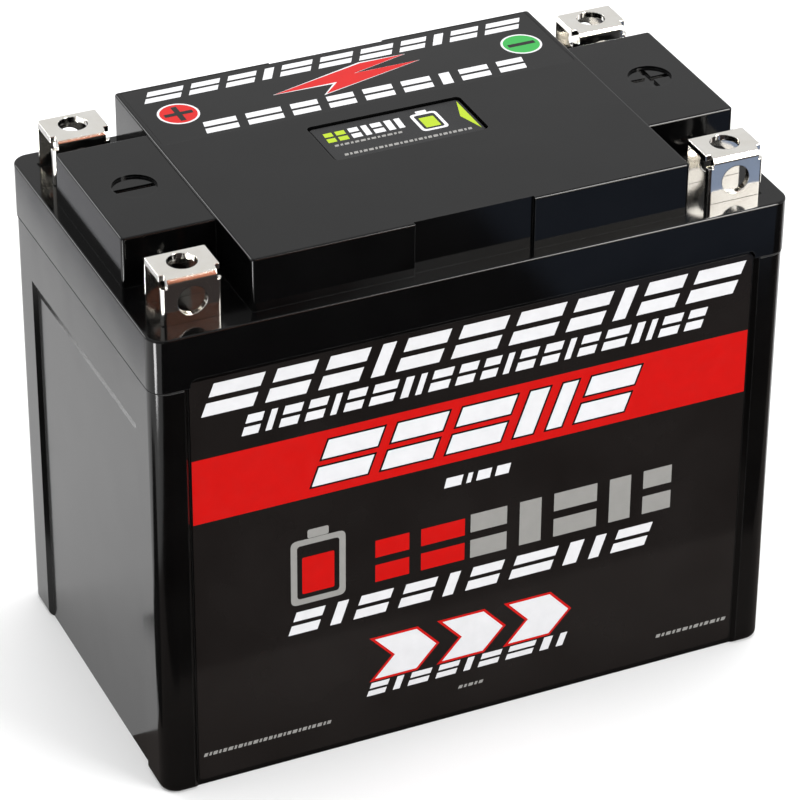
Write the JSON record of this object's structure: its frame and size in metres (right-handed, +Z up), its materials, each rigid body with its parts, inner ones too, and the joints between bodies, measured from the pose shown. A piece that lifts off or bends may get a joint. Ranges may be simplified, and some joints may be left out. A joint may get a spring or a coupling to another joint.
{
  "type": "motorcycle battery",
  "caption": "Sealed lithium motorcycle battery in a glossy black plastic case, with folded plate terminals at the corners of the lid and a push button on top.",
  "frame": {"origin": "middle of the underside, in the plane the battery stands on", "axes": "+X along the 150 mm length, to the right seen from the front; -Y is the labelled front; +Z up"},
  "size_m": [0.15, 0.087, 0.13],
  "materials": {
    "case_black": "gloss",
    "lid_black": "satin",
    "sealant": "matt",
    "label_black": "gloss",
    "button_black": "satin",
    "button_film": "satin",
    "switch_black": "matt",
    "plunger_grey": "matt",
    "holder_black": "matt",
    "copper": "satin",
    "board_green": "satin",
    "chip_black": "matt",
    "thermal_pad_grey": "matt",
    "aluminium_plate": "satin",
    "connector_white": "satin",
    "lead_red": "satin",
    "zinc_screw": "satin",
    "insulation_card": "matt",
    "foam_grey": "matt",
    "terminal_plating": "polished",
    "cell_can": "satin",
    "nickel_plate": "satin",
    "ink_white": "satin",
    "ink_red": "satin",
    "ink_grey": "satin",
    "ink_green": "satin",
    "ink_lime": "satin",
    "ink_black": "satin"
  },
  "bodies": {
    "battery": {"balance_connector": "connector_white", "balance_leads": "lead_red", "balance_resistors": "chip_black", "base_foam": "foam_grey", "board_screws": "zinc_screw", "case": "case_black", "cell_1_front": "cell_can", "cell_1_rear": "cell_can", "cell_2_front": "cell_can", "cell_2_rear": "cell_can", "cell_3_front": "cell_can", "cell_3_rear": "cell_can", "cell_4_front": "cell_can", "cell_4_rear": "cell_can", "circuit_board": "board_green", "control_chips": "chip_black", "foam_front": "foam_grey", "foam_left": "foam_grey", "foam_rear": "foam_grey", "foam_right": "foam_grey", "front_label": "label_black", "heat_spreader": "aluminium_plate", "insulation_sheet": "insulation_card", "lid": "lid_black", "lid_seal": "sealant", "link_plate_1_2": "nickel_plate", "link_plate_2_3": "nickel_plate", "link_plate_3_4": "nickel_plate", "lower_cell_holder": "holder_black", "lug_screws": "zinc_screw", "mosfets": "chip_black", "negative_bus": "copper", "negative_plate": "nickel_plate", "negative_strap": "copper", "positive_bus": "copper", "positive_plate": "nickel_plate", "spacer_foam": "foam_grey", "tact_switch": "switch_black", "terminal_front_left": "terminal_plating", "terminal_front_right": "terminal_plating", "terminal_rear_left": "terminal_plating", "terminal_rear_right": "terminal_plating", "terminal_screws": "zinc_screw", "thermal_pad": "thermal_pad_grey", "top_label": "label_black", "upper_cell_holder": "holder_black"},
    "button": {"button": "button_black", "button_label": "button_film", "switch_plunger": "plunger_grey"}
  },
  "joints": [
    {"name": "button_press", "type": "slide", "parent": "battery", "child": "button", "axis": [0, 0, -1], "range_m": [0, 0.0008], "stiffness_N_per_m": 3000}
  ]
}
